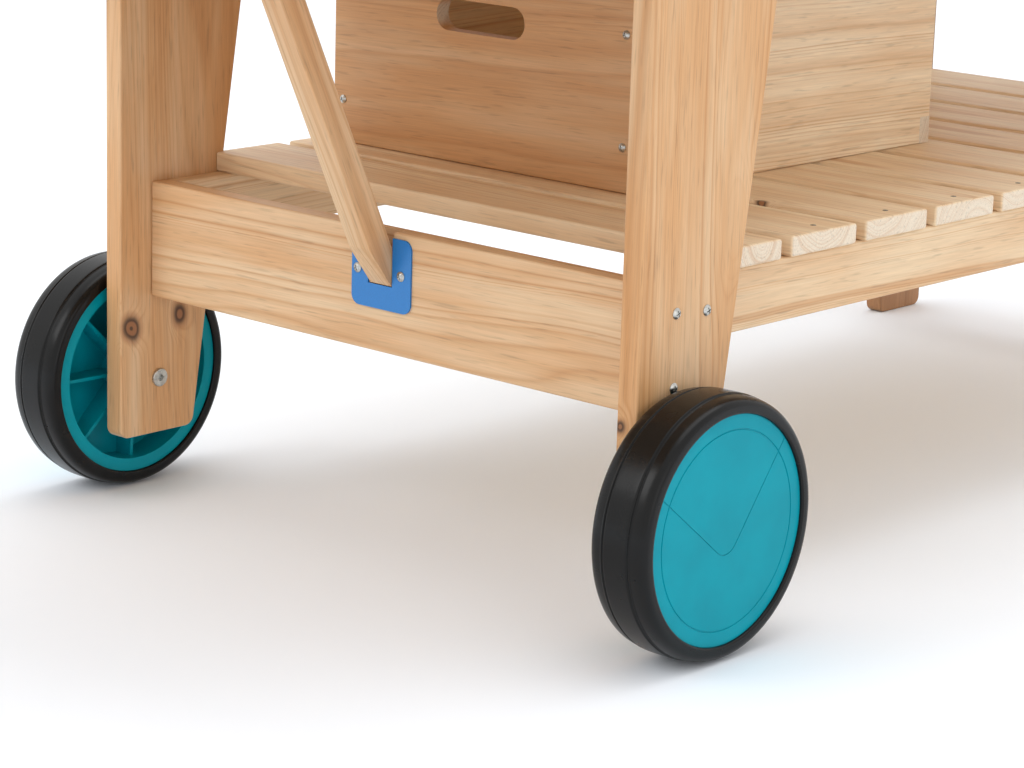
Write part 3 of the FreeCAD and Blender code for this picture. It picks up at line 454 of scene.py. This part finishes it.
def any_board(name: str, grain: Grain, **changes: object) -> PlanedWood:
    """Describes a board with its own place in the tree, the same each time for the same name.

    Args:
        name: the board's node name.
        grain: which way its fibres run.
        changes: values that are set instead of varied.

    Returns:
        The board's finish.
    """
    dice = board_seed(name)
    angle = dice.uniform(0, 2 * math.pi)
    reach = dice.uniform(45, 110)
    values = {
        "grain": grain, "pith": (reach * math.cos(angle), reach * math.sin(angle)),
        "tilt": (dice.uniform(-1.6, 1.6), dice.uniform(-1.6, 1.6)), "ring": dice.uniform(3.2, 5.4),
        "warmth": dice.uniform(0.1, 0.65), "contrast": dice.uniform(0.4, 0.75), "seed": dice.uniform(0, 20)}
    values.update(changes)
    return PlanedWood(**values)


def dress_board(name: str, grain: Grain, **changes: object) -> None:
    """Gives a board's node its own piece of the tree.

    Args:
        name: the board's node name.
        grain: which way its fibres run.
        changes: values that are set instead of varied.
    """
    low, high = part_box(name)
    wood = any_board(name, grain, **changes)
    give(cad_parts[name], wood.material("planed_wood_" + name, (low + high) / 2))
    log.info("%s: planed wood, grain %s", name, grain.name.lower())


# ---------------------------------------------------------------- plastics, rubber and metals
@dataclass(frozen=True)
class MouldedPlastic:
    """Polypropylene from a satin steel mould: even colour, soft broad highlight, a faint sand-like skin."""

    colour: str = "#0094A4"
    shade: str = "#008D9D"
    roughness: float = 0.36
    skin_mm: float = 0.7

    def material(self, name: str) -> bpy.types.Material:
        """Builds the node tree for this plastic.

        Args:
            name: the material's name.

        Returns:
            The finished material.
        """
        material, tree = new_material(name)
        where = add_node(tree, "ShaderNodeTexCoord").outputs["Object"]
        flow = add_node(tree, "ShaderNodeTexNoise", {"Vector": where, "Scale": 1 / (38 * MM), "Detail": 2.0})
        colour = add_node(tree, "ShaderNodeValToRGB", {"Fac": flow.outputs[0]}, stops=(
            (0.35, linear(self.shade)), (0.65, linear(self.colour))))
        skin = add_node(tree, "ShaderNodeTexNoise", {
            "Vector": where, "Scale": 1 / (self.skin_mm * MM), "Detail": 2.0}).outputs[0]
        rough = add_node(tree, "ShaderNodeMapRange", {
            "Value": flow.outputs[0], "To Min": self.roughness - 0.05, "To Max": self.roughness + 0.07})
        bump = add_node(tree, "ShaderNodeBump", {"Height": skin, "Strength": 0.25, "Distance": 0.02 * MM})
        shader = add_node(tree, "ShaderNodeBsdfPrincipled", {
            "Base Color": colour.outputs[0], "Roughness": rough.outputs[0], "Normal": bump.outputs[0], "IOR": 1.49,
            "Specular IOR Level": 0.13})
        add_node(tree, "ShaderNodeOutputMaterial", {"Surface": shader.outputs[0]})
        return material


@dataclass(frozen=True)
class BlownTyre:
    """Black PVC, blow-moulded: glossy, slightly wavy shoulders and a dull tread with light specks."""

    colour: str = "#0C0C0C"
    roughness: float = 0.24
    specks: float = 0.0
    speck_colour: str = "#8B8984"

    def material(self, name: str) -> bpy.types.Material:
        """Builds the node tree for this part of the tyre.

        Args:
            name: the material's name.

        Returns:
            The finished material.
        """
        material, tree = new_material(name)
        where = add_node(tree, "ShaderNodeTexCoord").outputs["Object"]
        speck = add_node(tree, "ShaderNodeTexNoise", {
            "Vector": where, "Scale": 1 / (1.3 * MM), "Detail": 1.0, "Roughness": 0.4}).outputs[0]
        lit = add_node(tree, "ShaderNodeMapRange", {
            "Value": speck, "From Min": 0.62, "From Max": 0.76, "To Min": 0.0, "To Max": self.specks})
        colour = add_node(tree, "ShaderNodeMix", {0: lit.outputs[0], 6: linear(self.colour),
                                                  7: linear(self.speck_colour)}, data_type="RGBA")
        wave = add_node(tree, "ShaderNodeTexNoise", {
            "Vector": where, "Scale": 1 / (14 * MM), "Detail": 2.0}).outputs[0]
        rough = add_node(tree, "ShaderNodeMapRange", {
            "Value": wave, "To Min": self.roughness - 0.06, "To Max": self.roughness + 0.08})
        height = add_node(tree, "ShaderNodeMath", {0: speck, 1: 0.35, 2: wave}, operation="MULTIPLY_ADD")
        bump = add_node(tree, "ShaderNodeBump", {
            "Height": height.outputs[0], "Strength": 0.4, "Distance": 0.12 * MM})
        shader = add_node(tree, "ShaderNodeBsdfPrincipled", {
            "Base Color": colour.outputs[2], "Roughness": rough.outputs[0], "Normal": bump.outputs[0], "IOR": 1.52,
            "Specular IOR Level": 0.22})
        add_node(tree, "ShaderNodeOutputMaterial", {"Surface": shader.outputs[0]})
        return material


@dataclass(frozen=True)
class PowderCoat:
    """Polyester powder coat on sheet steel: strong even blue with a fine orange-peel that softens the highlight."""

    colour: str = "#1478C2"
    shade: str = "#1171BA"
    roughness: float = 0.36
    peel_mm: float = 1.1

    def material(self, name: str) -> bpy.types.Material:
        """Builds the node tree for this coating.

        Args:
            name: the material's name.

        Returns:
            The finished material.
        """
        material, tree = new_material(name)
        where = add_node(tree, "ShaderNodeTexCoord").outputs["Object"]
        peel = add_node(tree, "ShaderNodeTexNoise", {
            "Vector": where, "Scale": 1 / (self.peel_mm * MM), "Detail": 2.0}).outputs[0]
        tint = add_node(tree, "ShaderNodeValToRGB", {"Fac": peel}, stops=(
            (0.3, linear(self.shade)), (0.7, linear(self.colour))))
        rough = add_node(tree, "ShaderNodeMapRange", {
            "Value": peel, "To Min": self.roughness - 0.06, "To Max": self.roughness + 0.08})
        bump = add_node(tree, "ShaderNodeBump", {"Height": peel, "Strength": 0.35, "Distance": 0.04 * MM})
        shader = add_node(tree, "ShaderNodeBsdfPrincipled", {
            "Base Color": tint.outputs[0], "Roughness": rough.outputs[0], "Normal": bump.outputs[0], "IOR": 1.5,
            "Coat Weight": 0.15, "Coat Roughness": 0.2})
        add_node(tree, "ShaderNodeOutputMaterial", {"Surface": shader.outputs[0]})
        return material


@dataclass(frozen=True)
class ZincSteel:
    """Bright zinc-plated steel, barrel-plated: silvery with small dull and clear patches and tumbling scratches."""

    colour: str = "#C9C8C2"
    dull: str = "#A9A9A6"
    roughness: float = 0.27

    def material(self, name: str) -> bpy.types.Material:
        """Builds the node tree for this plating.

        Args:
            name: the material's name.

        Returns:
            The finished material.
        """
        material, tree = new_material(name)
        where = add_node(tree, "ShaderNodeTexCoord").outputs["Object"]
        patch = add_node(tree, "ShaderNodeTexNoise", {
            "Vector": where, "Scale": 1 / (3.5 * MM), "Detail": 3.0, "Roughness": 0.6}).outputs[0]
        colour = add_node(tree, "ShaderNodeValToRGB", {"Fac": patch}, stops=(
            (0.3, linear(self.dull)), (0.62, linear(self.colour))))
        rough = add_node(tree, "ShaderNodeMapRange", {
            "Value": patch, "To Min": self.roughness - 0.09, "To Max": self.roughness + 0.16})
        scratch = add_node(tree, "ShaderNodeTexNoise", {
            "Vector": where, "Scale": 1 / (0.5 * MM), "Detail": 2.0}).outputs[0]
        bump = add_node(tree, "ShaderNodeBump", {"Height": scratch, "Strength": 0.3, "Distance": 0.03 * MM})
        shader = add_node(tree, "ShaderNodeBsdfPrincipled", {
            "Base Color": colour.outputs[0], "Metallic": 1.0, "Roughness": rough.outputs[0],
            "Normal": bump.outputs[0]})
        add_node(tree, "ShaderNodeOutputMaterial", {"Surface": shader.outputs[0]})
        return material


# ---------------------------------------------------------------- sub-assemblies
class Side(Enum):
    """Left and right of the cart, with the sign of x."""

    LEFT = -1
    RIGHT = 1

    @property
    def word(self) -> str:
        """The side's name as the nodes use it."""
        return self.name.lower()


@dataclass
class Wheel:
    """A blow-moulded tyre on a ribbed rim with a flat cap. Lengths in mm, measured inwards from the cap's face."""

    side: Side
    plastic: bpy.types.Material
    steps_round: int = 288
    section_points: int = 420
    cap_face: float = 332.4
    tread_radius: float = 96.5
    shoulder_drop: float = 0.7
    step_width: float = 0.3
    tread_floor: float = 90.0
    groove_places: tuple[float, float] = (11.3, 33.4)
    groove_depth: float = 0.95
    groove_width: float = 0.75
    bead_rise: float = 0.5
    bead_width: float = 0.5
    bead_aside: float = 1.35
    seat: float = 84.6
    lip_radius: float = 83.8
    lip: float = 1.3
    corner_power: float = 4.2
    tread_zone: tuple[float, float] = (12.0, 32.8)

    def profile(self) -> tuple[np.ndarray, np.ndarray]:
        """Outline of the tyre's section, closed: lip, round shoulder, tread with two grooves, shoulder, lip, seat.

        The outside is half a rounded rectangle with corners of power 4.2, taken at equal steps of its angle. The
        tread between the grooves stands 0.7 mm over the shoulders. Each groove is a bell 0.95 mm deep, and on its
        shoulder's side runs a rounded bead 0.5 mm high.

        Returns:
            Distances inwards from the cap's face and radii, in mm.
        """
        low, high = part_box(f"wheel_tyre_{self.side.word}")
        outer = self.cap_face - max(abs(low.x), abs(high.x)) * PER_MM
        inner = self.cap_face - min(abs(low.x), abs(high.x)) * PER_MM
        middle, half = (outer + inner) / 2, (inner - outer) / 2
        top = self.tread_radius - self.shoulder_drop - self.seat
        angle = np.linspace(0, np.pi, self.section_points)
        power = 2 / self.corner_power
        along = middle - half * np.sign(np.cos(angle)) * np.abs(np.cos(angle)) ** power
        crown = top * np.abs(np.sin(angle)) ** power
        first, last = self.groove_places
        rises, falls = np.tanh((along - first) / self.step_width), np.tanh((along - last) / self.step_width)
        crown += self.shoulder_drop * (rises - falls) / 2
        for place, bead in ((first, first - self.bead_aside), (last, last + self.bead_aside)):
            crown -= self.groove_depth * np.exp(-((along - place) / self.groove_width) ** 2)
            crown += self.bead_rise * np.exp(-((along - bead) / self.bead_width) ** 2)
        crown[0] = crown[-1] = 0.0
        radius = np.minimum(self.seat + crown, self.tread_radius)
        along = np.concatenate([along, [inner - self.lip, outer + self.lip]])
        radius = np.concatenate([radius, [self.lip_radius, self.lip_radius]])
        return along, radius

    def build_tyre(self) -> bpy.types.Object:
        """Carries the section round the axle and gives the tread band its own dull finish.

        Point (i, j) lies at the section's radius and depth for i, turned by j equal steps round the axle.

        Returns:
            The tyre's object.
        """
        word = self.side.word
        low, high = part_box(f"wheel_tyre_{word}")
        axle = (low + high) / 2
        along, radius = self.profile()
        turn = np.linspace(0, 2 * np.pi, self.steps_round, endpoint=False) * self.side.value
        x = self.side.value * (self.cap_face - along)[:, None] * MM + 0 * turn[None, :]
        y = axle.y + radius[:, None] * MM * np.cos(turn)[None, :]
        z = axle.z + radius[:, None] * MM * np.sin(turn)[None, :]
        in_tread = (along > self.tread_zone[0]) & (along < self.tread_zone[1]) & (radius > self.tread_floor)
        tyre = grid_mesh(f"tyre_{word}", np.stack([x, y, z], axis=-1), (True, True), in_tread.astype(int))
        give(tyre, BlownTyre().material(f"blown_tyre_shoulder_{word}"),
             BlownTyre("#1A1918", roughness=0.6, specks=0.45).material(f"blown_tyre_tread_{word}"))
        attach(tyre, f"wheel_{word}")
        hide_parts(f"wheel_tyre_{word}")
        log.info("tyre_%s: %d faces", word, len(tyre.data.polygons))
        return tyre

    def build(self) -> None:
        """Builds the tyre and dresses the rim and the cap."""
        self.build_tyre()
        for piece in ("rim", "cap"):
            give(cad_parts[f"wheel_{piece}_{self.side.word}"], self.plastic)


@dataclass
class Chassis:
    """Posts, legs and rails: the stiff frame that everything hangs on."""

    def build(self) -> None:
        """Dresses the uprights and the rails, the ones at the wheel end with values given one by one."""
        dress_board("wheel_post_left", Grain.UP, pith=(-60, 20), ring=3.4, warmth=0.75, contrast=0.55,
                    knots=(Knot((-262.0, -401.4, 142.0), radius=5.0, squeeze=0.6),
                           Knot((-262.0, -348.2, 146.2), radius=5.4, squeeze=0.6)))
        dress_board("wheel_post_right", Grain.UP, pith=(-48, 26), tilt=(0.0, -1.2), ring=4.6, warmth=0.85,
                    contrast=0.8, knots=(Knot((264.0, -409.0, 165.0)),
                                         Knot((280.0, -307.0, 300.0), radius=0.0, swell=8.0, reach=26.0,
                                              squeeze=0.35)))
        dress_board("wheel_end_rail", Grain.ACROSS, pith=(62, -58), tilt=(0.9, 0.3), ring=5.2, warmth=0.5,
                    contrast=0.8)
        # The far leg takes the darkened pine and a high warmth: painted shade.
        dress_board("leg_left", Grain.UP, warmth=0.9, timber=PINE_WITH_PAINTED_SHADE)
        dress_board("leg_right", Grain.UP, warmth=0.5)
        for name in ("leg_end_rail", "top_rail_wheel_end", "top_rail_leg_end"):
            dress_board(name, Grain.ACROSS)
        for name in ("side_rail_left", "side_rail_right", "top_side_rail_left", "top_side_rail_right"):
            dress_board(name, Grain.ALONG, warmth=0.25)


@dataclass
class Deck:
    """Ten loose-laid boards, all but the first nailed near both ends. Lengths in mm."""

    boards: int = 10
    nail_radius: float = 2.3
    nail_rise: float = 0.35
    nail_edge: float = 0.12
    nail_root: float = 0.8
    nail_corners: int = 16
    nail_inset: float = 17.0
    nail_aside: float = 7.0
    knotty_board: str = "deck_board_03"
    edge_knot: tuple[float, float, float] = (165.0, -130.0, 277.0)

    def build(self) -> None:
        """Dresses the boards and sets the nails."""
        names = [f"deck_board_{number:02d}" for number in range(1, self.boards + 1)]
        for name in names:
            dice = board_seed(name)
            pith = (dice.uniform(-30, 30), dice.choice((-1, 1)) * dice.uniform(12, 45))
            knots = (Knot(self.edge_knot, radius=3.5),) if name == self.knotty_board else ()
            # The boards take the lightened pine: painted light under the counter.
            dress_board(name, Grain.ACROSS, pith=pith, ring=dice.uniform(3.0, 4.4), warmth=0.3,
                        timber=PINE_WITH_PAINTED_LIGHT, knots=knots)
        self.build_nails(names)

    def build_nails(self, names: list[str]) -> None:
        """Sets a low domed nail head near each end of each board but the first.

        A head is a function of ring number and angle: the height falls with the square of the distance from the
        middle, and the last ring goes down into the wood.

        Args:
            names: the boards that get nails.
        """
        share = np.array([0.001, 0.3, 0.55, 0.75, 0.9, 1.0, 1.0])
        turn = np.linspace(0, 2 * np.pi, self.nail_corners, endpoint=False)
        rise = self.nail_rise * (1 - share ** 2) + self.nail_edge
        rise[-1] = -self.nail_root
        x = self.nail_radius * share[:, None] * np.cos(turn)
        y = self.nail_radius * share[:, None] * np.sin(turn)
        head = np.stack([x, y, rise[:, None] + 0 * x], axis=-1) * MM
        # The heads are a dark dull grey: dull steel, darkened further as painted shade of a sunk nail hole.
        steel = ZincSteel("#7C766C", roughness=0.5).material("nail_steel_with_painted_shade")
        heads = []
        for name in names[1:]:
            low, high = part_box(name)
            for end in (low.x + self.nail_inset * MM, high.x - self.nail_inset * MM):
                heads.append(head + np.array([end, (low.y + high.y) / 2 + self.nail_aside * MM, high.z]))
        pieces = [grid_mesh(f"deck_nail_{number}", points[::-1], (False, True))
                  for number, points in enumerate(heads)]
        bpy.ops.object.select_all(action="DESELECT")
        for piece in pieces:
            piece.select_set(True)
        bpy.context.view_layer.objects.active = pieces[0]
        bpy.ops.object.join()
        nails = bpy.context.view_layer.objects.active
        nails.name = nails.data.name = "deck_nails"
        give(nails, steel)
        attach(nails, "frame")
        log.info("deck_nails: %d heads", len(heads))


@dataclass
class Tops:
    """The counter, and the leaf with its battens that folds over on two hinges."""

    counter_boards: int = 4
    leaf_boards: int = 3

    def build(self) -> None:
        """Dresses the boards, each with its fibres along its longer side."""
        names = [f"counter_board_{number}" for number in range(1, self.counter_boards + 1)]
        names += [f"leaf_board_{number}" for number in range(1, self.leaf_boards + 1)]
        for name in names:
            low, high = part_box(name)
            grain = Grain.ALONG if high.y - low.y > high.x - low.x else Grain.ACROSS
            dress_board(name, grain)
        for name in ("leaf_batten_left", "leaf_batten_right"):
            dress_board(name, Grain.ALONG)


@dataclass
class Strut:
    """The prop strut and the coated plate that its foot stands in."""

    def build(self) -> None:
        """Dresses the strut in straight-grained wood and the plate in blue."""
        dress_board("prop_strut", Grain.LEANING, pith=(-60, 45), tilt=(0.0, 0.6), ring=4.6, warmth=0.6,
                    contrast=0.55)
        give(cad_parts["strut_seat_plate"], PowderCoat().material("powder_coat_blue"))


@dataclass
class Crate:
    """The loose crate on the deck."""

    def build(self) -> None:
        """Dresses the four walls and the floor."""
        # The front's high warmth darkens it: painted shade. The sides take the lightened pine: painted light.
        dress_board("crate_front", Grain.ACROSS, pith=(70, -30), ring=5.5, warmth=0.9, contrast=0.75)
        dress_board("crate_back", Grain.ACROSS)
        for name in ("crate_side_left", "crate_side_right"):
            dress_board(name, Grain.ALONG, warmth=0.35, ring=6.0, timber=PINE_WITH_PAINTED_LIGHT)
        dress_board("crate_bottom", Grain.ALONG)


@dataclass
class PullHandle:
    """Two pine arms and a turned beech grip."""

    def build(self) -> None:
        """Dresses the arms and the grip."""
        for name in ("handle_arm_left", "handle_arm_right"):
            dress_board(name, Grain.UP)
        dress_board("handle_grip", Grain.ACROSS, timber=BEECH, ring=2.2, contrast=0.35)


@dataclass
class Metalwork:
    """Screws, bolts, nuts, hinges and the strut's bracket, all zinc-plated."""

    bright: tuple[str, ...] = (
        "axle_bolts", "axle_nuts", "axle_sleeves", "crate_screws", "frame_screws", "handle_bolts",
        "leaf_hinge_fixed_halves", "leaf_hinge_moving_halves", "leaf_hinge_pins", "leaf_screws", "strut_bracket",
        "strut_pin")

    def build(self) -> None:
        """Gives every metal piece the plating."""
        plating = ZincSteel().material("zinc_plated_steel")
        for name in self.bright:
            give(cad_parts[name], plating)
        log.info("%d metal nodes plated", len(self.bright))


# ---------------------------------------------------------------- studio
@dataclass
class SoftLight:
    """A square softbox: place and aim in metres, side in metres, power in watts."""

    name: str
    place: tuple[float, float, float]
    side: float
    power: float
    aim: tuple[float, float, float] = (0.0, -0.2, 0.25)

    def build(self) -> None:
        """Hangs the softbox."""
        lamp = bpy.data.lights.new(self.name, "AREA")
        lamp.size = self.side
        lamp.energy = self.power
        thing = bpy.data.objects.new(self.name, lamp)
        thing.location = self.place
        thing.rotation_euler = (Vector(self.aim) - Vector(self.place)).to_track_quat("-Z", "Y").to_euler()
        bpy.context.scene.collection.objects.link(thing)


@dataclass
class Studio:
    """Pale floor, white surround, three softboxes and the camera."""

    camera_place: tuple[float, float, float] = (1.61284, -2.04069, 0.71875)
    camera_turn: tuple[float, float, float] = (76.04862, -1.66411, 42.08813)
    lens: float = 109.898
    floor_reach: float = 14.0
    floor_points: int = 9
    floor_drop: float = 0.0002
    surround: float = 1.08
    lights: tuple[SoftLight, ...] = field(default_factory=lambda: (
        SoftLight("side_softbox", (3.9, -1.4, 1.2), 2.2, 8.0),
        SoftLight("front_softbox", (-1.7, -3.6, 2.9), 1.9, 30.0),
        SoftLight("top_softbox", (0.0, 0.4, 3.4), 3.0, 40.0)))

    def build(self) -> None:
        """Builds the floor, the lights and the camera."""
        self.build_floor()
        for light in self.lights:
            light.build()
        world = bpy.data.worlds.new("white_surround")
        world.use_nodes = True
        backdrop = world.node_tree.nodes["Background"]
        backdrop.inputs["Color"].default_value = (1.0, 1.0, 1.0, 1.0)
        backdrop.inputs["Strength"].default_value = self.surround
        scene = bpy.context.scene
        scene.world = world
        scene.view_settings.view_transform = "Standard"
        camera = bpy.data.cameras.new("camera")
        camera.lens = self.lens
        camera.sensor_width = 36.0
        camera.clip_end = 60.0
        thing = bpy.data.objects.new("camera", camera)
        thing.location = self.camera_place
        thing.rotation_euler = [math.radians(angle) for angle in self.camera_turn]
        scene.collection.objects.link(thing)
        scene.camera = thing

    def build_floor(self) -> None:
        """Lays a flat floor, a square grid of points just under the ground plane."""
        steps = np.linspace(-self.floor_reach, self.floor_reach, self.floor_points)
        x, y = np.meshgrid(steps, steps, indexing="ij")
        points = np.stack([x, y, 0 * x - self.floor_drop], axis=-1)
        floor = grid_mesh("studio_floor", points[::-1], (False, False))
        material, tree = new_material("matt_white_paper")
        shader = add_node(tree, "ShaderNodeBsdfPrincipled", {
            "Base Color": linear("#F4F9FF"), "Roughness": 0.9, "Specular IOR Level": 0.1})
        add_node(tree, "ShaderNodeOutputMaterial", {"Surface": shader.outputs[0]})
        give(floor, material)


def main() -> None:
    """Builds the looks in order."""
    logging.basicConfig(level=logging.INFO, format="%(name)s: %(message)s")
    teal = MouldedPlastic().material("moulded_teal_plastic")
    assemblies = [Chassis(), Deck(), Tops(), Strut(), Crate(), PullHandle(), Metalwork(), Wheel(Side.LEFT, teal),
                  Wheel(Side.RIGHT, teal), Studio()]
    for assembly in assemblies:
        assembly.build()
        log.info("%s done", type(assembly).__name__)


if __name__ == "__main__":
    main()
